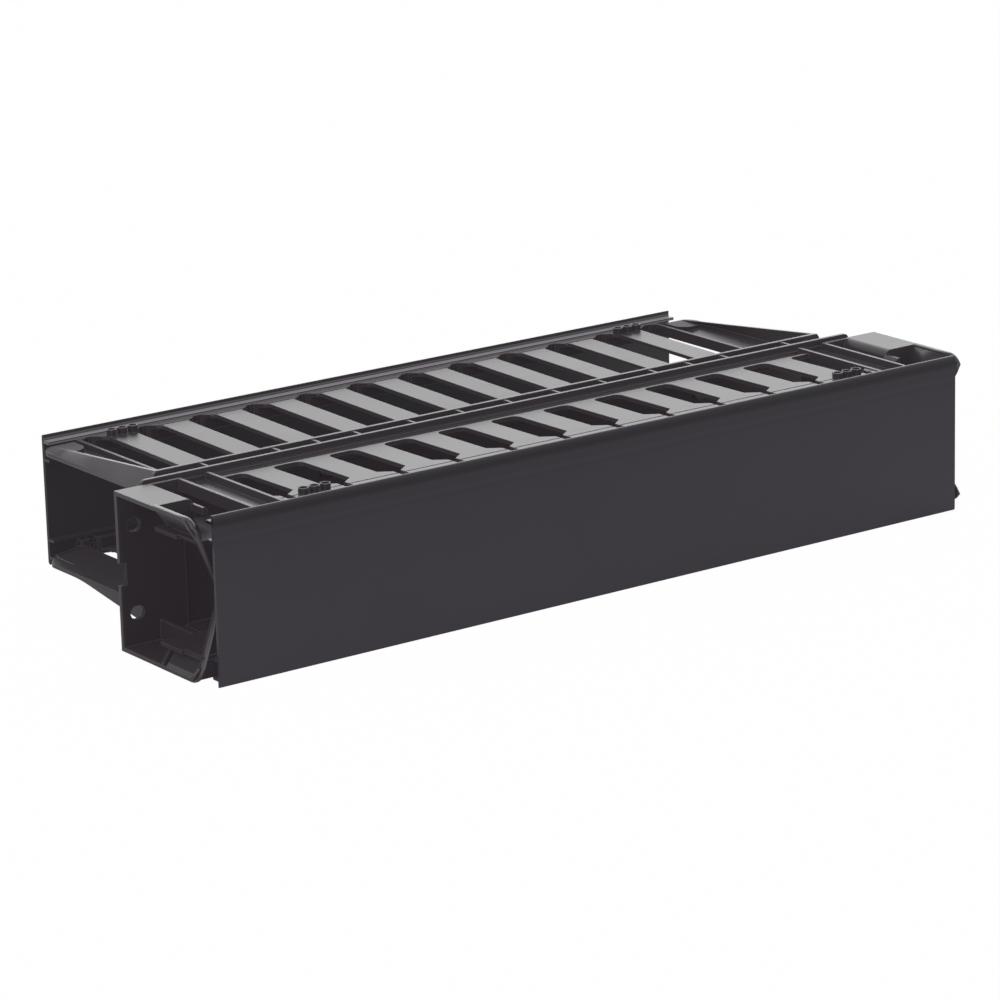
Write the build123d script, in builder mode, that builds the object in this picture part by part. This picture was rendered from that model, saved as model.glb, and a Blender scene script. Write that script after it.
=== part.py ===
from build123d import *
from math import hypot
import os

# Rack mounting. The origin is the middle of the mounting face, the rear of the ears.
# X runs along the rack, Y from the front to the rear, Z up.
rack_width = 482.6
rack_hole_spacing_x = 465.1
rack_hole_spacing_z = 44.45
rack_slot_width = 6.8
rack_slot_length = 8.0
rack_opening_width = 449.8
ear_height = 81.0
ear_thickness = 2.2
ear_notch_height = 11.4
ear_notch_depth = 3.6
ear_notch_z = -1.5

# Walls that both channels share
wall = 2.0
rib_thickness = 1.8
finger_pitch = 33.0
slots_per_row = 12
throat_width = 4.4
shoulder_length = 5.0
end_rib_inset = 9.0
trough_width = 15.0
trough_depth = 4.0

# Front channel. Row heights are from the middle plane to the outer face of the fingers.
front_face_y = -76.0
front_cover_height = 85.2
front_root_height = 39.0
front_tip_height = 40.0
front_rib_height = 40.4
front_slot_width = 17.3
front_slot_root_y = -9.6
front_slot_root_radius = 4.0
front_shoulder_inset = 8.7
groove_y = -4.3
groove_radius = 3.5
groove_wall = 1.6

# Rear channel. Its frame is a pair of flanges with thin spacers between them.
rear_face_y = 134.8
rear_cover_height = 69.4
rear_root_height = 29.6
rear_tip_height = 31.2
rear_slot_width = 17.8
rear_slot_root_inset = 6.0
rear_shoulder_inset = 1.0
flange_gap = 7.2
front_flange_height = 84.0
rear_flange_height = 84.8
flange_corner_radius = 3.0
spacer_positions = (30.5, 61.0, 94.3, 118.7, 142.5, 185.0)
spacer_thickness = 1.4
spacer_height = 16.0
trough_floor_z = 27.5
wing_reach = 23.0
wing_lean = 1.4
wing_bend_z = 30.5
wing_end_y = 122.0
wing_end_radius = 8.0
wing_wall = 1.6
end_pad_width = 13.6
end_pad_length = 16.0
end_pad_radius = 8.0

# Hinge beads on the finger tips, and the lips of the covers that hold them
cover_wall = 2.0
lip_wall = 1.5
lip_reach = 2.4
lip_pitch = 9.5
lip_inset = 3.0
tip_groove_inset = 4.6
tip_groove_width = 1.0
tip_groove_depth = 0.6
bead_radius = 1.8
bead_sides = 8
hinge_clearance = 0.3
swing_clearance = 0.4
shelf_drop = 4.0
shelf_thickness = 1.4
neck_width = 2.0
cover_edge_radius = 1.5
cover_end_inset = 8.6

# End mouths of the front channel
box_length = 36.0
box_width = 23.3
box_depth = 12.0
box_edge_radius = 4.5
mouth_wall = 1.8
mouth_rim_width = 3.0
mouth_waist_y = -62.0
mouth_top_y = -71.7
mouth_corner_radius = 9.0
mouth_notch_width = 19.3
mouth_notch_z = 36.0
closing_plate_width = 17.0
closing_plate_y = -68.8
ramp_start_y = -41.0
ramp_end_y = -64.5
ramp_width = 9.3
ramp_drop = 11.0
catch_length = 10.0
catch_width = 3.0
catch_height = 3.5
catch_overhang = 1.0
catch_drop = 2.5
catch_chamfer = 1.5

# Pass-through windows from the front channel to the rear one
window_count = 4
window_length = 78.0
window_height = 36.0
window_spacing = 97.0
window_chamfer = 4.0

# Hexagonal cups in groups of three, on the second finger from each end of the upper rows
front_cup_x = 167.5
rear_cup_x = 164.0
cups_per_group = 3
cup_pitch = 6.3
cup_radius = 3.0
cup_bore_radius = 2.2
cup_height = 3.4
cup_floor = 1.0
front_cup_inset = 3.2
rear_cup_inset = 5.6

# Screws that join the two channels, each at a spacer of the rear frame
screw_radius = 2.0
screw_clearance = 0.3
screw_head_radius = 4.0
screw_head_height = 2.4
screw_recess_radius = 1.3
screw_recess_depth = 1.4
screw_length = 9.0
screw_hole_depth = 8.0
screw_spacing_x = 2 * spacer_positions[3]
screw_spacing_z = 56.0
boss_radius = 5.0

half_rack = rack_width / 2
ear_top = ear_height / 2
end_rib_x = finger_pitch * slots_per_row / 2 - end_rib_inset
trough_end_x = end_rib_x + trough_width
trough_wall_x = trough_end_x + rib_thickness
wing_x = end_rib_x + wing_reach
wing_front_x = wing_x - wing_lean
box_inner_x = half_rack - box_width
ramp_inner_x = half_rack - ramp_width
recess_floor_z = ear_top - ramp_drop
back_wall_y = wall
front_flange_y = back_wall_y + wall
rear_flange_y = front_flange_y + flange_gap
frame_rear_y = rear_flange_y + wall
bead_offset = cover_wall + hinge_clearance + bead_radius
lip_swing = hypot(bead_radius + hinge_clearance + lip_wall, lip_reach)
finger_end_offset = bead_offset + lip_swing + swing_clearance
lip_depth = bead_offset + lip_reach
front_end_y = front_face_y + finger_end_offset
rear_end_y = rear_face_y - finger_end_offset
window_grid = GridLocations(window_spacing, 1, window_count, 1)
screw_grid = GridLocations(screw_spacing_x, screw_spacing_z, 2, 2)
slot_grid = GridLocations(finger_pitch, 1, slots_per_row, 1)


def row_profile(face_y, side, root_y, root_height, tip_height, cover_height):
    """Draws the upper half of a finger row, seen along X, on the current sketch.

    The plate rises a little towards the cover, with a shallow groove across its
    tip. A shelf then dips under the swinging lip of the cover and carries the
    hinge bead on a neck.
    """
    end_y = face_y - side * finger_end_offset
    bead_y = face_y - side * bead_offset
    bead_z = cover_height / 2 - lip_inset - lip_wall - hinge_clearance - bead_radius
    shelf_top = bead_z - shelf_drop
    shelf_bottom = shelf_top - shelf_thickness
    neck_inner_y = bead_y - side * neck_width / 2
    neck_outer_y = bead_y + side * neck_width / 2
    back_y = end_y - side * wall
    Polygon(
        (root_y, root_height),
        (end_y, tip_height),
        (end_y, shelf_top),
        (neck_inner_y, shelf_top),
        (neck_inner_y, bead_z),
        (neck_outer_y, bead_z),
        (neck_outer_y, shelf_bottom),
        (back_y, shelf_bottom),
        (back_y, tip_height - wall),
        (root_y, root_height - wall),
        align=None,
    )
    with Locations((bead_y, bead_z)):
        RegularPolygon(bead_radius, bead_sides)
    with Locations((end_y - side * tip_groove_inset, tip_height)):
        Rectangle(tip_groove_width, 2 * tip_groove_depth, mode=Mode.SUBTRACT)


def finger_slots(face_y, side, root_y, width, shoulder_inset):
    """Draws the slots of a row: straight sides, then shoulders and a narrow throat."""
    shoulder_y = face_y - side * (finger_end_offset + shoulder_inset)
    straight_y = shoulder_y - side * shoulder_length
    half_throat = throat_width / 2
    with slot_grid:
        Polygon(
            (-width / 2, root_y),
            (-width / 2, straight_y),
            (-half_throat, shoulder_y),
            (-half_throat, face_y),
            (half_throat, face_y),
            (half_throat, shoulder_y),
            (width / 2, straight_y),
            (width / 2, root_y),
            align=None,
        )


def finger_cups(centre_x, centre_y, tip_height):
    """Makes the hexagonal cups that stand on the upper row of one channel."""
    with BuildPart() as cups:
        with BuildSketch(Plane.XY.offset(tip_height - cup_floor)):
            with Locations((centre_x, centre_y)):
                with GridLocations(cup_pitch, 1, cups_per_group, 1):
                    RegularPolygon(cup_radius, 6)
        extrude(amount=cup_floor + cup_height)
        with BuildSketch(Plane.XY.offset(tip_height)):
            with Locations((centre_x, centre_y)):
                with GridLocations(cup_pitch, 1, cups_per_group, 1):
                    RegularPolygon(cup_bore_radius, 6)
        extrude(amount=cup_height, mode=Mode.SUBTRACT)
        mirror(about=Plane.YZ)
    return cups.part


def cover_profile(face_y, side, height):
    """Draws a cover, seen along X: a flat panel with two pairs of lips round the beads.

    The panel stands a little proud of its outer lips.
    """
    with Locations((face_y - side * cover_wall / 2, 0)):
        Rectangle(cover_wall, height)
    outer_lip_z = (height - lip_wall) / 2 - lip_inset
    inner_lip_z = outer_lip_z - lip_pitch
    lip_y = face_y - side * lip_depth / 2
    with Locations(
        (lip_y, outer_lip_z), (lip_y, inner_lip_z), (lip_y, -inner_lip_z), (lip_y, -outer_lip_z)
    ):
        Rectangle(lip_depth, lip_wall)
    edges_of_face = vertices().group_by(Axis.X)[0 if side < 0 else -1]
    fillet(edges_of_face, cover_edge_radius)


front_cups = finger_cups(front_cup_x, front_end_y + front_cup_inset, front_tip_height)
rear_cups = finger_cups(rear_cup_x, rear_end_y - rear_cup_inset, rear_tip_height)

# One quarter of the front channel's ends: rib, trough, mounting box and bell mouth
with BuildPart() as mouth:
    # Shell of the bell mouth: its top, the rounded front corner and the front that slants back
    slant = (mouth_top_y - mouth_waist_y) / ear_top
    with BuildSketch(Plane.YZ.offset(half_rack)):
        with BuildLine():
            FilletPolyline(
                (0, ear_top),
                (mouth_top_y, ear_top),
                (mouth_waist_y - slant * mouth_wall, -mouth_wall),
                radius=mouth_corner_radius,
            )
            offset(amount=mouth_wall, side=Side.LEFT)
        make_face()
    extrude(amount=trough_wall_x - half_rack)
    split(bisect_by=Plane.XY, keep=Keep.TOP)
    with BuildSketch(Plane.XY.offset(recess_floor_z)):
        with Locations((trough_wall_x, 0)):
            Rectangle(
                half_rack - mouth_rim_width - trough_wall_x,
                -2 * mouth_top_y,
                align=(Align.MIN, Align.CENTER),
            )
    extrude(amount=ear_height, mode=Mode.SUBTRACT)
    with BuildSketch(Plane.XY.offset(recess_floor_z - mouth_wall)):
        with Locations((half_rack - mouth_wall, wall - box_length)):
            Rectangle(
                half_rack - mouth_wall - trough_end_x,
                wall - box_length - mouth_top_y,
                align=(Align.MAX, Align.MAX),
            )
    extrude(amount=mouth_wall)
    with BuildSketch(Plane.YZ.offset(half_rack)):
        Polygon(
            (mouth_waist_y, 0),
            (mouth_waist_y + slant * recess_floor_z, recess_floor_z),
            (2 * mouth_top_y, recess_floor_z),
            (2 * mouth_top_y, 0),
            align=None,
        )
    extrude(amount=trough_end_x - half_rack, mode=Mode.SUBTRACT)

    # V-shaped notch in the front of the mouth
    with BuildSketch(Plane.XZ.offset(-mouth_waist_y - mouth_corner_radius)):
        Polygon(
            (half_rack - mouth_notch_width, 0),
            (half_rack, mouth_notch_z),
            (half_rack + wall, mouth_notch_z),
            (half_rack + wall, 0),
            align=None,
        )
    extrude(amount=3 * mouth_corner_radius, mode=Mode.SUBTRACT)

    # Rib and trough beside the last finger
    with BuildSketch(Plane.XZ):
        with Locations((end_rib_x, front_rib_height), (trough_wall_x, front_rib_height)):
            Rectangle(rib_thickness, wall + trough_depth, align=(Align.MAX, Align.MAX))
        with Locations((end_rib_x - rib_thickness, front_rib_height - trough_depth)):
            Rectangle(
                trough_wall_x - end_rib_x + rib_thickness, wall, align=(Align.MIN, Align.MAX)
            )
    extrude(amount=-front_end_y)

    # Mounting box: a roof with a rounded inner edge, an inner wall and a front wall
    with BuildSketch(Plane.XZ):
        with Locations((box_inner_x, ear_top)):
            Rectangle(box_width, box_depth, align=(Align.MIN, Align.MAX))
        fillet(vertices().group_by(Axis.X)[0].sort_by(Axis.Y)[-1], box_edge_radius)
        with Locations((box_inner_x + wall, ear_top - wall)):
            Rectangle(box_width, box_depth, align=(Align.MIN, Align.MAX), mode=Mode.SUBTRACT)
    extrude(amount=box_length)
    with BuildSketch(Plane.XZ.offset(box_length - wall)):
        with Locations((box_inner_x, ear_top)):
            Rectangle(box_width, box_depth, align=(Align.MIN, Align.MAX))
        fillet(vertices().group_by(Axis.X)[0].sort_by(Axis.Y)[-1], box_edge_radius)
        Polygon(
            (half_rack, ear_top),
            (half_rack, ear_top - box_depth),
            (ramp_inner_x, ear_top - box_depth),
            align=None,
            mode=Mode.SUBTRACT,
        )
    extrude(amount=wall)

    # Small catch that stands forward from the inner corner of the box
    with BuildSketch(Plane.XZ.offset(box_length)):
        with Locations((box_inner_x - catch_overhang, ear_top - catch_drop)):
            Rectangle(catch_width, catch_height, align=(Align.MIN, Align.MAX))
        chamfer(vertices().group_by(Axis.X)[0].sort_by(Axis.Y)[-1], catch_chamfer)
    extrude(amount=catch_length)

    # Ramp that leads cables out over the rim
    with BuildSketch(Plane.XZ.offset(-ramp_start_y)):
        Polygon(
            (half_rack, ear_top),
            (half_rack, ear_top - mouth_wall),
            (ramp_inner_x + mouth_wall, recess_floor_z),
            (ramp_inner_x, recess_floor_z),
            (half_rack - mouth_wall, ear_top),
            align=None,
        )
    extrude(amount=ramp_start_y - ramp_end_y)
    mirror(about=Plane.XY)

    # Plate that closes the lower recess at the front
    notch_x = half_rack - mouth_notch_width * (1 - recess_floor_z / mouth_notch_z)
    with BuildSketch(Plane.XZ.offset(-closing_plate_y - mouth_wall)):
        Polygon(
            (half_rack - closing_plate_width, wall - recess_floor_z),
            (half_rack - closing_plate_width, mouth_wall - ear_top),
            (half_rack - mouth_wall, mouth_wall - ear_top),
            (half_rack - mouth_wall, -mouth_notch_z),
            (notch_x, -recess_floor_z),
            (notch_x, wall - recess_floor_z),
            align=None,
        )
    extrude(amount=mouth_wall)
    mirror(about=Plane.YZ)

with BuildPart() as front_channel:
    # Back wall, which stands between the rack posts
    with BuildSketch(Plane.XZ.offset(-back_wall_y)):
        Rectangle(rack_opening_width, 2 * front_root_height)
        with screw_grid:
            Circle(screw_radius + screw_clearance, mode=Mode.SUBTRACT)
    extrude(amount=wall)
    with BuildSketch(Plane.XZ.offset(-back_wall_y)):
        with window_grid:
            Rectangle(window_length, window_height)
        chamfer(vertices(), window_chamfer)
    extrude(amount=wall, mode=Mode.SUBTRACT)

    # Upper and lower finger rows, each with a round groove before the back wall
    with BuildSketch(Plane.YZ):
        with Locations((groove_y, front_root_height)):
            Circle(groove_radius + groove_wall)
        with Locations((groove_y, front_root_height)):
            Rectangle(
                2 * (groove_radius + wall),
                groove_radius + wall,
                align=(Align.CENTER, Align.MIN),
                mode=Mode.SUBTRACT,
            )
        row_profile(
            front_face_y,
            -1,
            groove_y - groove_radius,
            front_root_height,
            front_tip_height,
            front_cover_height,
        )
        with Locations((groove_y, front_root_height)):
            Circle(groove_radius, mode=Mode.SUBTRACT)
        mirror(about=Plane.XZ)
    extrude(amount=end_rib_x, both=True)
    with BuildSketch(Plane.XY.offset(-ear_height)):
        finger_slots(
            front_face_y, -1, front_slot_root_y, front_slot_width, front_shoulder_inset
        )
        fillet(vertices().group_by(Axis.Y)[-1], front_slot_root_radius)
    extrude(amount=2 * ear_height, mode=Mode.SUBTRACT)
    add(front_cups)
    add(mouth.part)

    # Rack ears
    with BuildSketch(Plane.XZ):
        Rectangle(rack_width, ear_height)
        Rectangle(2 * trough_end_x, ear_height, mode=Mode.SUBTRACT)
        with GridLocations(rack_hole_spacing_x, rack_hole_spacing_z, 2, 2):
            SlotOverall(rack_slot_length, rack_slot_width, mode=Mode.SUBTRACT)
        with Locations((-half_rack, ear_notch_z), (half_rack, ear_notch_z)):
            Rectangle(2 * ear_notch_depth, ear_notch_height, mode=Mode.SUBTRACT)
    extrude(amount=ear_thickness)

# One quarter of the rear channel's ends: rib, trough floor and the wing that leans over it
with BuildPart() as rear_wing:
    with BuildSketch(Plane.XZ.offset(-rear_flange_y)):
        with Locations((end_rib_x, rear_tip_height)):
            Rectangle(rib_thickness, rear_tip_height - trough_floor_z, align=(Align.MAX, Align.MAX))
        Polygon(
            (end_rib_x - rib_thickness, trough_floor_z),
            (wing_x, wing_bend_z),
            (wing_x, wing_bend_z - wall),
            (end_rib_x - rib_thickness, trough_floor_z - wall),
            align=None,
        )
    extrude(amount=rear_flange_y - rear_end_y)
    with BuildSketch(Plane.XZ.offset(-rear_flange_y)):
        Polygon(
            (wing_x, wing_bend_z - wall),
            (wing_x, wing_bend_z),
            (wing_front_x, rear_flange_height / 2),
            (wing_front_x - wing_wall, rear_flange_height / 2),
            (wing_x - wing_wall, wing_bend_z),
            (wing_x - wing_wall, wing_bend_z - wall),
            align=None,
        )
    with BuildSketch(Plane.XZ.offset(-wing_end_y)):
        Polygon(
            (wing_x, wing_bend_z - wall),
            (wing_x, wing_bend_z),
            (trough_end_x + wing_wall, rear_tip_height),
            (trough_end_x, rear_tip_height),
            (wing_x - wing_wall, wing_bend_z - wing_wall),
            (wing_x - wing_wall, wing_bend_z - wall),
            align=None,
        )
    loft()

    # Raised end of the trough, rounded at its inner corner
    with BuildSketch(Plane.XY.offset(trough_floor_z)):
        with Locations((trough_end_x + wing_wall, wing_end_y)):
            Rectangle(end_pad_width, end_pad_length, align=(Align.MAX, Align.MAX))
        fillet(vertices().group_by(Axis.X)[0].sort_by(Axis.Y)[0], end_pad_radius)
    extrude(amount=rear_tip_height - trough_floor_z)

    # Rounded outer corner of the wing, seen from above
    with BuildSketch():
        with Locations((wing_x - wing_end_radius, wing_end_y - wing_end_radius)):
            Rectangle(
                2 * wing_end_radius, 2 * wing_end_radius, align=(Align.MIN, Align.MIN)
            )
            Circle(wing_end_radius, mode=Mode.SUBTRACT)
    extrude(amount=ear_height, mode=Mode.SUBTRACT)
    mirror(about=Plane.XY)
    mirror(about=Plane.YZ)

with BuildPart() as rear_channel:
    # Front flange, spacers with screw bosses, and rear flange
    with BuildSketch(Plane.XZ.offset(-front_flange_y)):
        RectangleRounded(rack_opening_width, front_flange_height, flange_corner_radius)
    extrude(amount=wall)
    with BuildSketch(Plane.XZ.offset(-front_flange_y)):
        for spacer_x in spacer_positions:
            with GridLocations(2 * spacer_x, front_flange_height - spacer_height, 2, 2):
                Rectangle(spacer_thickness, spacer_height)
        with GridLocations(1, front_flange_height - spacer_height, 1, 2):
            Rectangle(spacer_thickness, spacer_height)
        with screw_grid:
            Circle(boss_radius)
    extrude(amount=-flange_gap)
    with BuildSketch(Plane.XZ.offset(-rear_flange_y)):
        RectangleRounded(2 * wing_x, rear_flange_height, flange_corner_radius)
    extrude(amount=-wall)
    with BuildSketch(Plane.XZ.offset(-back_wall_y)):
        with window_grid:
            Rectangle(window_length, window_height)
        chamfer(vertices(), window_chamfer)
    extrude(amount=back_wall_y - frame_rear_y, mode=Mode.SUBTRACT)
    with BuildSketch(Plane.XZ.offset(-back_wall_y)):
        with screw_grid:
            Circle(screw_radius)
    extrude(amount=-screw_hole_depth, mode=Mode.SUBTRACT)

    # Upper and lower finger rows
    with BuildSketch(Plane.YZ):
        row_profile(
            rear_face_y,
            1,
            rear_flange_y,
            rear_root_height,
            rear_tip_height,
            rear_cover_height,
        )
        mirror(about=Plane.XZ)
    extrude(amount=end_rib_x, both=True)
    with BuildSketch(Plane.XY.offset(-ear_height)):
        finger_slots(
            rear_face_y,
            1,
            frame_rear_y + rear_slot_root_inset,
            rear_slot_width,
            rear_shoulder_inset,
        )
    extrude(amount=2 * ear_height, mode=Mode.SUBTRACT)
    add(rear_cups)
    add(rear_wing.part)

with BuildPart() as front_cover:
    with BuildSketch(Plane.YZ):
        cover_profile(front_face_y, -1, front_cover_height)
    extrude(amount=half_rack - cover_end_inset, both=True)

with BuildPart() as rear_cover:
    with BuildSketch(Plane.YZ):
        cover_profile(rear_face_y, 1, rear_cover_height)
    extrude(amount=wing_x - cover_end_inset, both=True)

with BuildPart() as joining_screws:
    with BuildSketch(Plane.XZ):
        with screw_grid:
            Circle(screw_head_radius)
    extrude(amount=screw_head_height)
    with BuildSketch(Plane.XZ):
        with screw_grid:
            Circle(screw_radius)
    extrude(amount=-screw_length)
    with BuildSketch(Plane.XZ.offset(screw_head_height)):
        with screw_grid:
            RegularPolygon(screw_recess_radius, 6)
    extrude(amount=-screw_recess_depth, mode=Mode.SUBTRACT)

front_channel.part.label = "front_channel"
rear_channel.part.label = "rear_channel"
front_cover.part.label = "front_cover"
rear_cover.part.label = "rear_cover"
joining_screws.part.label = "joining_screws"

os.makedirs("parts", exist_ok=True)
export_step(front_channel.part, "parts/front_channel.step")
export_step(rear_channel.part, "parts/rear_channel.step")
export_step(front_cover.part, "parts/front_cover.step")
export_step(rear_cover.part, "parts/rear_cover.step")
export_step(joining_screws.part, "parts/joining_screws.step")
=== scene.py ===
import bpy
import bmesh
from math import cos, radians, sin
from mathutils import Vector, Matrix


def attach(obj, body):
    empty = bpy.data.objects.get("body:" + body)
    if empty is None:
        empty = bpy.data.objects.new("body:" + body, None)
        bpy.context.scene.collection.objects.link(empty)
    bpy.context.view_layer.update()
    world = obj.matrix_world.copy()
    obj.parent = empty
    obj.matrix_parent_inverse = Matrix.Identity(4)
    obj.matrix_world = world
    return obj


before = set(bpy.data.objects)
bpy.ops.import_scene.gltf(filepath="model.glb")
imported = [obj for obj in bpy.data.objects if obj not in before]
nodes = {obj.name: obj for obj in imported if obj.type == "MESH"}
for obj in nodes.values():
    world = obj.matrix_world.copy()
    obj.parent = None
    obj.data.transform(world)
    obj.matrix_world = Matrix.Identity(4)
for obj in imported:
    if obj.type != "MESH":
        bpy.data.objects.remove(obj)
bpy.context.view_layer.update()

print("frame loaded:", len(nodes), "nodes")


# node helpers, used by every material
def addNode(tree, kind, **settings):
    node = tree.nodes.new(kind)
    for name, value in settings.items():
        if name in node.inputs:
            node.inputs[name].default_value = value
        else:
            setattr(node, name, value)
    return node


def addRange(tree, fromMin, fromMax, toMin=0.0, toMax=1.0):
    node = addNode(tree, "ShaderNodeMapRange")
    node.inputs["From Min"].default_value = fromMin
    node.inputs["From Max"].default_value = fromMax
    node.inputs["To Min"].default_value = toMin
    node.inputs["To Max"].default_value = toMax
    return node


def newGroup(name, inputs, outputs):
    group = bpy.data.node_groups.new(name, "ShaderNodeTree")
    for label, kind, value in inputs:
        socket = group.interface.new_socket(label, in_out="INPUT", socket_type=kind)
        if value is not None:
            socket.default_value = value
    for label, kind in outputs:
        group.interface.new_socket(label, in_out="OUTPUT", socket_type=kind)
    return group, group.nodes.new("NodeGroupInput"), group.nodes.new("NodeGroupOutput")


# fine texture of the mould, slow cloudiness of the melt, and softened edges
mouldLook = {
    "grainDetail": 3.0, "grainRoughness": 0.6, "grainHeight": 0.00008,
    "cloudScale": 14.0, "cloudDetail": 4.0, "cloudRoughness": 0.55,
    "edgeRadius": 0.00045, "edgeSamples": 4,
    "edgeTurn": (0.985, 0.85),  # cosine between face and softened normal, at no and full edge
}


def makeMouldedGrain(look):
    group, inside, outside = newGroup(
        "mouldedGrain",
        [("Vector", "NodeSocketVector", None), ("Grain Scale", "NodeSocketFloat", 1800.0),
         ("Cloud Scale", "NodeSocketFloat", look["cloudScale"]),
         ("Grain Depth", "NodeSocketFloat", 0.1)],
        [("Cloud", "NodeSocketFloat"), ("Edge", "NodeSocketFloat"),
         ("Normal", "NodeSocketVector")],
    )
    link = group.links.new
    grain = addNode(group, "ShaderNodeTexNoise",
                    Detail=look["grainDetail"], Roughness=look["grainRoughness"])
    cloud = addNode(group, "ShaderNodeTexNoise",
                    Detail=look["cloudDetail"], Roughness=look["cloudRoughness"])
    soft = addNode(group, "ShaderNodeBevel",
                   samples=look["edgeSamples"], Radius=look["edgeRadius"])
    bump = addNode(group, "ShaderNodeBump", Distance=look["grainHeight"])
    flat = addNode(group, "ShaderNodeNewGeometry")
    apart = addNode(group, "ShaderNodeVectorMath", operation="DOT_PRODUCT")
    edge = addRange(group, *look["edgeTurn"])
    link(soft.outputs["Normal"], apart.inputs[0])
    link(flat.outputs["Normal"], apart.inputs[1])
    link(apart.outputs["Value"], edge.inputs["Value"])
    link(edge.outputs["Result"], outside.inputs["Edge"])
    link(inside.outputs["Vector"], grain.inputs["Vector"])
    link(inside.outputs["Vector"], cloud.inputs["Vector"])
    link(inside.outputs["Grain Scale"], grain.inputs["Scale"])
    link(inside.outputs["Cloud Scale"], cloud.inputs["Scale"])
    link(inside.outputs["Grain Depth"], bump.inputs["Strength"])
    link(grain.outputs["Fac"], bump.inputs["Height"])
    link(soft.outputs["Normal"], bump.inputs["Normal"])
    link(cloud.outputs["Fac"], outside.inputs["Cloud"])
    link(bump.outputs["Normal"], outside.inputs["Normal"])
    return group


# long faint drawing lines of an extrusion, broken up by the light scuffs of handling
scuffLook = {
    "squeeze": (0.06, 1.0, 1.0), "lineDetail": 5.0, "lineRoughness": 0.7,
    "lineSharpness": (0.55, 0.75), "patchScale": 9.0, "patchDetail": 2.0,
}


def makeScuffs(look):
    group, inside, outside = newGroup(
        "handlingScuffs",
        [("Vector", "NodeSocketVector", None), ("Stretch", "NodeSocketFloat", 40.0),
         ("Amount", "NodeSocketFloat", 0.5)],
        [("Scuff", "NodeSocketFloat")],
    )
    link = group.links.new
    place = addNode(group, "ShaderNodeMapping", Scale=look["squeeze"])
    lines = addNode(group, "ShaderNodeTexNoise",
                    Detail=look["lineDetail"], Roughness=look["lineRoughness"])
    patches = addNode(group, "ShaderNodeTexNoise",
                      Scale=look["patchScale"], Detail=look["patchDetail"])
    sharpen = addRange(group, *look["lineSharpness"])
    both = addNode(group, "ShaderNodeMath", operation="MULTIPLY")
    amount = addNode(group, "ShaderNodeMath", operation="MULTIPLY")
    link(inside.outputs["Vector"], place.inputs["Vector"])
    link(place.outputs["Vector"], lines.inputs["Vector"])
    link(inside.outputs["Stretch"], lines.inputs["Scale"])
    link(inside.outputs["Vector"], patches.inputs["Vector"])
    link(lines.outputs["Fac"], sharpen.inputs["Value"])
    link(sharpen.outputs["Result"], both.inputs[0])
    link(patches.outputs["Fac"], both.inputs[1])
    link(both.outputs[0], amount.inputs[0])
    link(inside.outputs["Amount"], amount.inputs[1])
    link(amount.outputs[0], outside.inputs["Scuff"])
    return group


# painted light and shade in bands along the length of a cover: painted shade and light of
# shallow grooves outside the front one, painted highlights on the rear one's rail inside. The
# distances are millimetres below the upper edge.
paintedCoverBands = {
    "paintedGrooveBands": {
        "fromEdge": [0.0, 2.0, 3.7, 5.0, 6.5, 10.5, 12.0, 14.0, 16.0, 24.0],
        "shade": [0.8, 0.4, 0.0, 0.2, 0.8, 0.8, 1.08, 0.78, 0.92, 1.0],
    },
    "paintedRailHighlights": {
        "fromEdge": [0.0, 1.4, 1.8, 2.5, 2.8, 2.93, 2.96, 3.04, 3.08, 3.4, 3.6, 4.4, 4.6, 24.0],
        "shade": [0.1, 0.1, 0.36, 0.36, 0.1, 0.1, 1.0, 1.0, 0.1, 0.1, 0.52, 0.52, 0.1, 0.1],
    },
}
millimetres = 1000.0  # in a metre


def makeBands(name, look):
    group, inside, outside = newGroup(
        name,
        [("Vector", "NodeSocketVector", None), ("Half Height", "NodeSocketFloat", 0.04)],
        [("Shade", "NodeSocketFloat")],
    )
    link = group.links.new
    split = addNode(group, "ShaderNodeSeparateXYZ")
    depth = addNode(group, "ShaderNodeMath", operation="SUBTRACT")
    scaled = addNode(group, "ShaderNodeMath", operation="MULTIPLY")
    reach = look["fromEdge"][-1]
    scaled.inputs[1].default_value = millimetres / reach
    ramp = addNode(group, "ShaderNodeValToRGB")
    stops = ramp.color_ramp.elements
    while len(stops) < len(look["fromEdge"]):
        stops.new(0.5)
    for stop, place, shade in zip(stops, look["fromEdge"], look["shade"]):
        stop.position = place / reach
        stop.color = (shade, shade, shade, 1.0)
    link(inside.outputs["Vector"], split.inputs["Vector"])
    link(inside.outputs["Half Height"], depth.inputs[0])
    link(split.outputs["Z"], depth.inputs[1])
    link(depth.outputs[0], scaled.inputs[0])
    link(scaled.outputs[0], ramp.inputs["Fac"])
    link(ramp.outputs["Color"], outside.inputs["Shade"])
    return group


mouldedGrain = makeMouldedGrain(mouldLook)
handlingScuffs = makeScuffs(scuffLook)
bandGroups = {name: makeBands(name, look) for name, look in paintedCoverBands.items()}


# strength of the painted glow on a channel: full on its faces, and more along its edges as a
# painted highlight
def addEdgeSheen(tree, grain, edgeSheen):
    sheenStrength = addNode(tree, "ShaderNodeMath", operation="MULTIPLY_ADD")
    sheenStrength.inputs[1].default_value = edgeSheen
    sheenStrength.inputs[2].default_value = 1.0
    tree.links.new(grain.outputs["Edge"], sheenStrength.inputs[0])
    return sheenStrength


# strength of the painted glow on a cover: its painted bands, brighter towards the foot as
# painted light, or only on the inside
def addBands(tree, place, look):
    link = tree.links.new
    bands = addNode(tree, "ShaderNodeGroup", node_tree=bandGroups[look["group"]])
    bands.inputs["Half Height"].default_value = look["halfHeight"]
    split = addNode(tree, "ShaderNodeSeparateXYZ")
    slope = addRange(tree, look["from"], look["to"], look["least"], look["most"])
    strength = addNode(tree, "ShaderNodeMath", operation="MULTIPLY")
    link(place.outputs["Object"], bands.inputs["Vector"])
    link(place.outputs["Object"], split.inputs["Vector"])
    link(split.outputs[look["along"]], slope.inputs["Value"])
    link(bands.outputs["Shade"], strength.inputs[0])
    link(slope.outputs["Result"], strength.inputs[1])
    return strength
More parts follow.
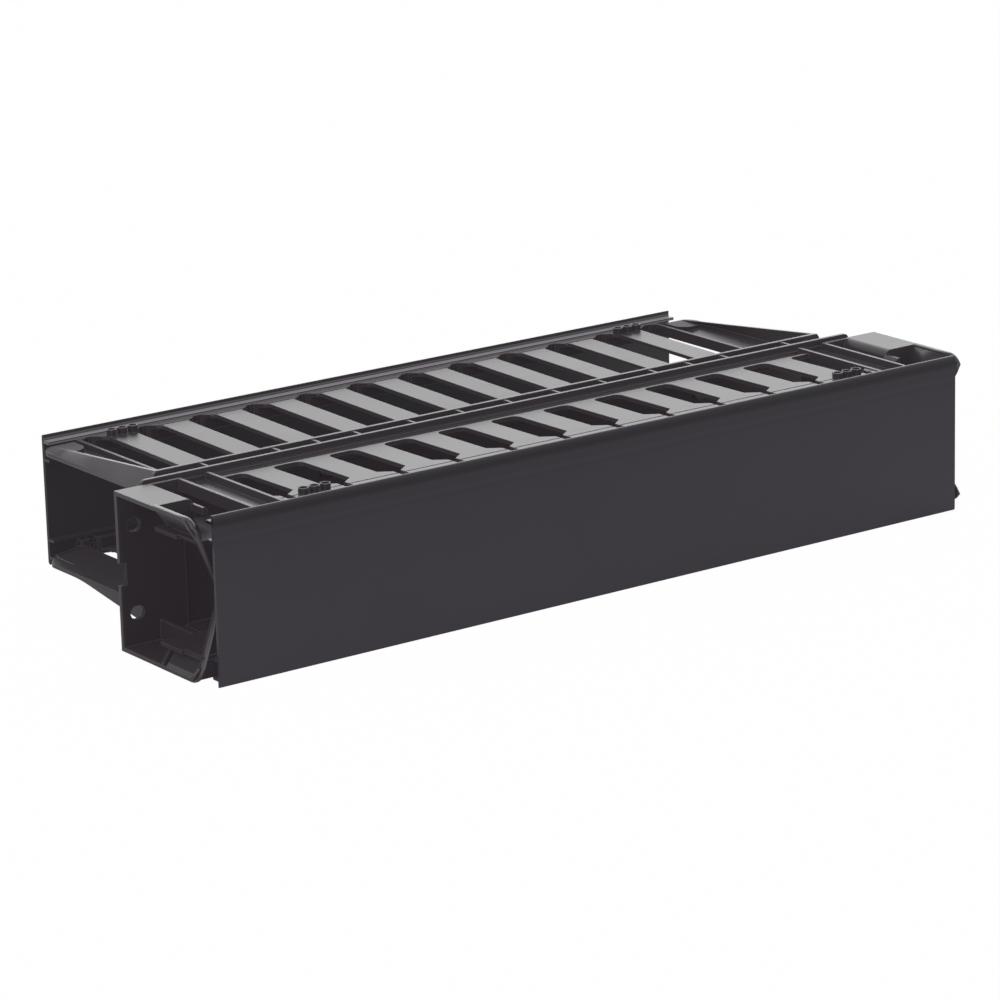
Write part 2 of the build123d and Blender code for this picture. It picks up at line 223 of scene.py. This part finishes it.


# painted light: a thin glow on the plastic, which keeps the black plastic from going fully dark
def addPaintedGlow(tree, place, grain, shader, look):
    if "bands" in look:
        strength = addBands(tree, place, look["bands"])
    else:
        strength = addEdgeSheen(tree, grain, look["edgeSheen"])
    paintedGlow = addNode(tree, "ShaderNodeVectorMath", operation="SCALE", Vector=look["paintedGlow"])
    tree.links.new(strength.outputs[0], paintedGlow.inputs["Scale"])
    tree.links.new(paintedGlow.outputs["Vector"], shader.inputs["Emission Color"])
    shader.inputs["Emission Strength"].default_value = 1.0


def joinMasks(tree, first, second):
    if first is None:
        return second
    joined = addNode(tree, "ShaderNodeMath", operation="MULTIPLY")
    tree.links.new(first.outputs[0], joined.inputs[0])
    tree.links.new(second.outputs[0], joined.inputs[1])
    return joined


# a gloss of its own where a point lies between all limits of an area, with X counted from the
# middle; an area with fades takes hold little by little
plainGloss = 0.5


def addGlossAreas(tree, place, shader, areas):
    link = tree.links.new
    split = addNode(tree, "ShaderNodeSeparateXYZ")
    sideways = addNode(tree, "ShaderNodeMath", operation="ABSOLUTE")
    link(place.outputs["Object"], split.inputs["Vector"])
    link(split.outputs["X"], sideways.inputs[0])
    sources = {"X": sideways.outputs[0], "Y": split.outputs["Y"], "Z": split.outputs["Z"]}
    level = None
    for area in areas:
        inArea = None
        for axis, (low, high) in area["limits"].items():
            within = addNode(tree, "ShaderNodeMath", operation="COMPARE")
            within.inputs[1].default_value = (low + high) / 2
            within.inputs[2].default_value = (high - low) / 2
            link(sources[axis], within.inputs[0])
            inArea = joinMasks(tree, inArea, within)
        for axis, (low, high) in area.get("fades", {}).items():
            fading = addRange(tree, low, high)
            link(sources[axis], fading.inputs["Value"])
            inArea = joinMasks(tree, inArea, fading)
        changed = addRange(tree, 0.0, 1.0, plainGloss, area["gloss"])
        link(inArea.outputs[0], changed.inputs["Value"])
        if level:
            link(level.outputs["Result"], changed.inputs["To Min"])
        level = changed
    link(level.outputs["Result"], shader.inputs["Specular IOR Level"])


tintStops = (0.35, 0.65)  # levels of the cloud that give the dark and the light tint


def makeFinish(name, look):
    material = bpy.data.materials.new(name)
    material.use_nodes = True
    material.cycles.emission_sampling = "NONE"  # the veil is too faint to be sampled as a lamp
    tree = material.node_tree
    link = tree.links.new
    shader = tree.nodes["Principled BSDF"]
    shader.inputs["IOR"].default_value = look["ior"]
    shader.inputs["Metallic"].default_value = look.get("metallic", 0.0)
    place = addNode(tree, "ShaderNodeTexCoord")
    grain = addNode(tree, "ShaderNodeGroup", node_tree=mouldedGrain)
    grain.inputs["Grain Scale"].default_value = look["grainScale"]
    grain.inputs["Grain Depth"].default_value = look["grainDepth"]
    scuff = addNode(tree, "ShaderNodeGroup", node_tree=handlingScuffs)
    scuff.inputs["Stretch"].default_value = look["scuffStretch"]
    scuff.inputs["Amount"].default_value = look["scuffAmount"]
    tint = addNode(tree, "ShaderNodeValToRGB")
    for stop, shade, position in zip(tint.color_ramp.elements, ("dark", "light"), tintStops):
        stop.position = position
        stop.color = (*look[shade], 1.0)
    clouded = addRange(tree, 0.0, 1.0, *look["roughness"])
    rough = addNode(tree, "ShaderNodeMath", operation="ADD")
    link(place.outputs["Object"], grain.inputs["Vector"])
    link(place.outputs["Object"], scuff.inputs["Vector"])
    link(grain.outputs["Cloud"], tint.inputs["Fac"])
    link(grain.outputs["Cloud"], clouded.inputs["Value"])
    link(clouded.outputs["Result"], rough.inputs[0])
    link(scuff.outputs["Scuff"], rough.inputs[1])
    link(rough.outputs[0], shader.inputs["Roughness"])
    link(tint.outputs["Color"], shader.inputs["Base Color"])
    link(grain.outputs["Normal"], shader.inputs["Normal"])
    if "paintedGlow" in look:
        addPaintedGlow(tree, place, grain, shader, look)
    if "glossAreas" in look:
        addGlossAreas(tree, place, shader, look["glossAreas"])
    return material


frontGlossAreas = [
    # cup rims, then both halves of the mouths' insides and the flared recess beside a cover end
    # the lowered gloss darkens the cup rims and is painted shade inside the mouths and the
    # recess
    {"gloss": 0.12, "limits": {"Z": (0.0409, 0.05)}},
    {"gloss": 0.03, "limits": {"X": (0.19, 0.2397), "Y": (-0.072, 0.0), "Z": (-0.0395, 0.0296)}},
    {"gloss": 0.03, "limits": {"X": (0.19, 0.2318), "Y": (-0.072, 0.0), "Z": (0.0296, 0.0345)}},
    {"gloss": 0.20, "limits": {"X": (0.2318, 0.2383), "Y": (-0.066, -0.0362),
                               "Z": (0.0296, 0.042)}},
]
rearGlossAreas = [
    # wings, finger ends, cup rims beside them, and the wings' ends
    # raised gloss: a painted highlight on the upper wings; lowered gloss: painted shade on
    # finger ends and pads, darker cup rims
    {"gloss": 1.0, "limits": {"X": (0.2, 0.226), "Y": (0.004, 0.122), "Z": (0.0, 0.0425)}},
    {"gloss": 0.12, "limits": {"Y": (0.1219, 0.14)}},
    {"gloss": 0.12, "limits": {"Y": (0.115, 0.14), "Z": (0.0316, 0.05)}},
    {"gloss": 0.03, "limits": {"X": (0.185, 0.226), "Y": (0.04, 0.125), "Z": (0.028, 0.045)},
     "fades": {"Y": (0.045, 0.106), "Z": (0.0285, 0.0308)}},
]
channelLook = {
    "dark": (0.0180, 0.0165, 0.0185), "light": (0.0215, 0.0200, 0.0222),
    "paintedGlow": (0.0172, 0.0139, 0.0166), "edgeSheen": 3.0, "roughness": (0.37, 0.42), "ior": 1.46,
    "grainScale": 1500.0, "grainDepth": 0.08, "scuffStretch": 60.0, "scuffAmount": 0.05,
}
coverLook = {
    "dark": (0.0115, 0.0088, 0.0126), "light": (0.0134, 0.0107, 0.0147),
    "paintedGlow": (0.0150, 0.0132, 0.0174), "roughness": (0.38, 0.42), "ior": 1.46,
    "grainScale": 1500.0, "grainDepth": 0.06, "scuffStretch": 60.0, "scuffAmount": 0.06,
    # painted shade of shallow grooves below the upper edge, and painted light rising towards the
    # foot
    "bands": {"group": "paintedGrooveBands", "halfHeight": 0.0426, "along": "Z",
              "from": 0.040, "to": -0.040, "least": 1.0, "most": 1.55},
}
finishLooks = {
    "channelPlastic": {**channelLook, "glossAreas": frontGlossAreas},
    "rearChannelPlastic": {**channelLook, "glossAreas": rearGlossAreas},
    "coverPlastic": coverLook,
    "rearCoverPlastic": {
        **coverLook, "dark": (0.0132, 0.0085, 0.0140), "light": (0.0157, 0.0110, 0.0168),
        "paintedGlow": (0.0118, 0.0112, 0.0121),
        # painted highlights on the rail inside the cover
        "bands": {"group": "paintedRailHighlights", "halfHeight": 0.0347, "along": "Y",
                  "from": 0.1332, "to": 0.1329, "least": 1.0, "most": 15.0},
    },
    "lipPlastic": {**channelLook, "roughness": (0.28, 0.32), "ior": 1.52, "grainDepth": 0.04},
    "screwZinc": {
        "dark": (0.55, 0.54, 0.52), "light": (0.66, 0.65, 0.63), "metallic": 1.0,
        "roughness": (0.25, 0.34), "ior": 1.5, "grainScale": 900.0, "grainDepth": 0.05,
        "scuffStretch": 90.0, "scuffAmount": 0.1,
    },
}
finishes = {name: makeFinish(name, look) for name, look in finishLooks.items()}
nodeFinish = {
    "front_channel": "channelPlastic",
    "rear_channel": "rearChannelPlastic",
    "front_cover": "coverPlastic",
    "rear_cover": "rearCoverPlastic",
    "joining_screws": "screwZinc",
}
for nodeName, finish in nodeFinish.items():
    for materialSlot in nodes[nodeName].material_slots:
        materialSlot.material = finishes[finish]
print("materials made:", len(finishes))


# rounded lip along the rim of each end mouth: over the top, round the bend and down the notch
mouthLip = {
    "rimX": 0.2398, "topZ": 0.0404, "backY": -0.0355, "bendY": -0.0627, "bendRadius": 0.0089,
    "bendSteps": 8, "bendTurn": 60.0, "notchX": 0.2402, "notchZ": 0.0358, "notchWidth": 0.0186,
    "notchSteps": (0.9, 0.5, 0.0), "waistY": -0.0628, "frontSlope": 0.2395,
    "halfWidth": 0.0014, "halfHeight": 0.0007, "sides": 16,
}


# the upper half of the rim, and its mirror image below the waist
def lipPath(look):
    half = [Vector((look["rimX"], look["backY"], look["topZ"]))]
    centreZ = look["topZ"] - look["bendRadius"]
    for step in range(look["bendSteps"] + 1):
        turn = radians(look["bendTurn"] * step / look["bendSteps"])
        half.append(Vector((look["rimX"], look["bendY"] - look["bendRadius"] * sin(turn),
                            centreZ + look["bendRadius"] * cos(turn))))
    for part in look["notchSteps"]:
        z = look["notchZ"] * part
        half.append(Vector((look["notchX"] - look["notchWidth"] * (1.0 - part),
                            look["waistY"] - look["frontSlope"] * z, z)))
    return half + [Vector((p.x, p.y, -p.z)) for p in reversed(half[:-1])]


# a flattened rod: a ring of edges is drawn on from each point of the path to the next
def makeLip(name, look):
    mesh = bpy.data.meshes.new(name)
    bm = bmesh.new()
    bmesh.ops.create_circle(bm, cap_ends=False, segments=look["sides"], radius=1.0)
    bmesh.ops.scale(bm, vec=(look["halfWidth"], look["halfHeight"], 1.0), verts=bm.verts)
    ring = list(bm.verts)
    last = Matrix.Identity(4)
    path = lipPath(look)
    for index, point in enumerate(path):
        before = path[max(index - 1, 0)]
        after = path[min(index + 1, len(path) - 1)]
        turn = (after - before).to_track_quat("Z", "Y").to_matrix().to_4x4()
        here = Matrix.Translation(point) @ turn
        if index:
            inRing = set(ring)
            edges = [edge for edge in bm.edges if inRing.issuperset(edge.verts)]
            drawn = bmesh.ops.extrude_edge_only(bm, edges=edges)["geom"]
            ring = [part for part in drawn if isinstance(part, bmesh.types.BMVert)]
        bmesh.ops.transform(bm, matrix=here @ last.inverted(), verts=ring)
        last = here
    bmesh.ops.holes_fill(bm, edges=bm.edges, sides=look["sides"])
    bmesh.ops.recalc_face_normals(bm, faces=bm.faces)
    for face in bm.faces:
        face.smooth = len(face.verts) == 4
    bm.to_mesh(mesh)
    bm.free()
    return mesh


# flared inner side of the recess beside each cover end, from the box to the ramp's end
mouthFlare = {
    "footX": 0.2322, "rimX": 0.2407, "footZ": 0.0297, "rimZ": 0.0403, "backY": -0.0360,
    "frontY": -0.0642, "steps": 8, "thickness": 0.0008,
    "endFacing": 0.5,  # a face that looks along Y by more than this is a flat end
}


# a straight edge spun through a quarter turn, stretched to an oval and given its wall
def makeFlare(name, look):
    mesh = bpy.data.meshes.new(name)
    bm = bmesh.new()
    ends = [bm.verts.new((-1.0, y, 0.0)) for y in (look["backY"], look["frontY"])]
    foot = bm.edges.new(ends)
    bmesh.ops.spin(bm, geom=[*ends, foot], cent=(0.0, 0.0, 0.0), axis=(0.0, 1.0, 0.0),
                   angle=radians(90.0), steps=look["steps"], use_duplicate=False)
    reach, lift = look["rimX"] - look["footX"], look["rimZ"] - look["footZ"]
    bmesh.ops.scale(bm, vec=(reach, 1.0, lift), verts=bm.verts)
    bmesh.ops.translate(bm, vec=(look["rimX"], 0.0, look["footZ"]), verts=bm.verts)
    bmesh.ops.recalc_face_normals(bm, faces=bm.faces)
    bmesh.ops.solidify(bm, geom=bm.faces, thickness=look["thickness"])
    for face in bm.faces:
        face.smooth = abs(face.normal.y) < look["endFacing"]
    bm.to_mesh(mesh)
    bm.free()
    return mesh


# the same mesh at the left or right end, and for the flare above or below
def mirroredCopy(mesh, name, axes, finish):
    copied = mesh.copy()
    copied.name = name
    bm = bmesh.new()
    bm.from_mesh(copied)
    bmesh.ops.scale(bm, vec=axes, verts=bm.verts)
    if axes[0] * axes[1] * axes[2] < 0:
        bmesh.ops.reverse_faces(bm, faces=bm.faces)
    bm.to_mesh(copied)
    bm.free()
    piece = bpy.data.objects.new(name, copied)
    bpy.context.scene.collection.objects.link(piece)
    copied.materials.append(finishes[finish])
    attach(piece, "frame")


lipMesh = makeLip("mouthLip", mouthLip)
flareMesh = makeFlare("mouthFlare", mouthFlare)
for endName, endSign in (("left", -1.0), ("right", 1.0)):
    mirroredCopy(lipMesh, endName + "MouthLip", (endSign, 1.0, 1.0), "lipPlastic")
    mirroredCopy(flareMesh, endName + "UpperFlare", (endSign, 1.0, 1.0), "channelPlastic")
    mirroredCopy(flareMesh, endName + "LowerFlare", (endSign, 1.0, -1.0), "channelPlastic")
print("mouth pieces made")


# studio: pale floor, even sky, one wide panel behind and a soft key at the left
studio = {
    "floorZ": -0.0429, "floorSize": 14.0, "floorWhite": 0.55, "floorRoughness": 0.9,
    "floorShow": 0.99,  # share of plain white that the camera sees, the rest is lit paper
    "skyLevel": 0.72,
    "backPanel": {"place": (2.1, 2.95, 1.15), "aim": (0.0, 0.0, 0.0),
                  "size": (6.5, 2.8), "power": 109.0},
    "keyPanel": {"place": (-2.4, -0.6, 1.9), "aim": (0.0, 0.0, 0.0),
                 "size": (2.4, 2.4), "power": 32.0},
}


def makeFloor(look):
    mesh = bpy.data.meshes.new("studioFloor")
    bm = bmesh.new()
    bmesh.ops.create_grid(bm, x_segments=1, y_segments=1, size=look["floorSize"] / 2)
    bmesh.ops.translate(bm, verts=bm.verts, vec=(0.0, 0.0, look["floorZ"]))
    bm.to_mesh(mesh)
    bm.free()
    floor = bpy.data.objects.new("studioFloor", mesh)
    bpy.context.scene.collection.objects.link(floor)
    material = bpy.data.materials.new("floorPaper")
    material.use_nodes = True
    tree = material.node_tree
    link = tree.links.new
    shader = tree.nodes["Principled BSDF"]
    shader.inputs["Base Color"].default_value = (look["floorWhite"],) * 3 + (1.0,)
    shader.inputs["Roughness"].default_value = look["floorRoughness"]
    shader.inputs["Specular IOR Level"].default_value = 0.0
    lightPath = addNode(tree, "ShaderNodeLightPath")
    glow = addNode(tree, "ShaderNodeEmission", Color=(1.0, 1.0, 1.0, 1.0), Strength=1.0)
    share = addNode(tree, "ShaderNodeMath", operation="MULTIPLY")
    share.inputs[1].default_value = look["floorShow"]
    mixed = addNode(tree, "ShaderNodeMixShader")
    link(lightPath.outputs["Is Camera Ray"], share.inputs[0])
    link(share.outputs[0], mixed.inputs["Fac"])
    link(shader.outputs[0], mixed.inputs[1])
    link(glow.outputs[0], mixed.inputs[2])
    link(mixed.outputs[0], tree.nodes["Material Output"].inputs["Surface"])
    mesh.materials.append(material)


def makePanel(name, look):
    lamp = bpy.data.lights.new(name, "AREA")
    lamp.shape = "RECTANGLE"
    lamp.size, lamp.size_y = look["size"]
    lamp.energy = look["power"]
    panel = bpy.data.objects.new(name, lamp)
    bpy.context.scene.collection.objects.link(panel)
    panel.location = look["place"]
    towards = Vector(look["aim"]) - Vector(look["place"])
    panel.rotation_euler = towards.to_track_quat("-Z", "Y").to_euler()


def makeSky(look):
    world = bpy.data.worlds.new("studioSky")
    bpy.context.scene.world = world
    world.use_nodes = True
    background = world.node_tree.nodes["Background"]
    background.inputs["Color"].default_value = (1.0, 1.0, 1.0, 1.0)
    background.inputs["Strength"].default_value = look["skyLevel"]


makeFloor(studio)
makeSky(studio)
makePanel("backPanel", studio["backPanel"])
makePanel("keyPanel", studio["keyPanel"])
bpy.context.scene.view_settings.view_transform = "Standard"


# the photographer's place, worked out from the edges of the rack panel and covers
camera = {
    "azimuth": 35.615, "elevation": 15.92, "roll": -1.5, "focal": 4.3230,
    "sensorWidth": 36.0, "nearest": 0.1, "furthest": 60.0,
    "place": (-1.25964, -1.74149, 0.60384),
}


def makeCamera(look):
    lens = bpy.data.cameras.new("photoCamera")
    lens.sensor_width = look["sensorWidth"]
    lens.lens = look["focal"] * look["sensorWidth"]
    lens.clip_start, lens.clip_end = look["nearest"], look["furthest"]
    eye = bpy.data.objects.new("photoCamera", lens)
    bpy.context.scene.collection.objects.link(eye)
    turn = (Matrix.Rotation(-radians(look["azimuth"]), 4, "Z")
            @ Matrix.Rotation(radians(90.0 - look["elevation"]), 4, "X")
            @ Matrix.Rotation(radians(look["roll"]), 4, "Z"))
    eye.matrix_world = Matrix.Translation(look["place"]) @ turn
    bpy.context.scene.camera = eye


makeCamera(camera)
print("studio and camera set")
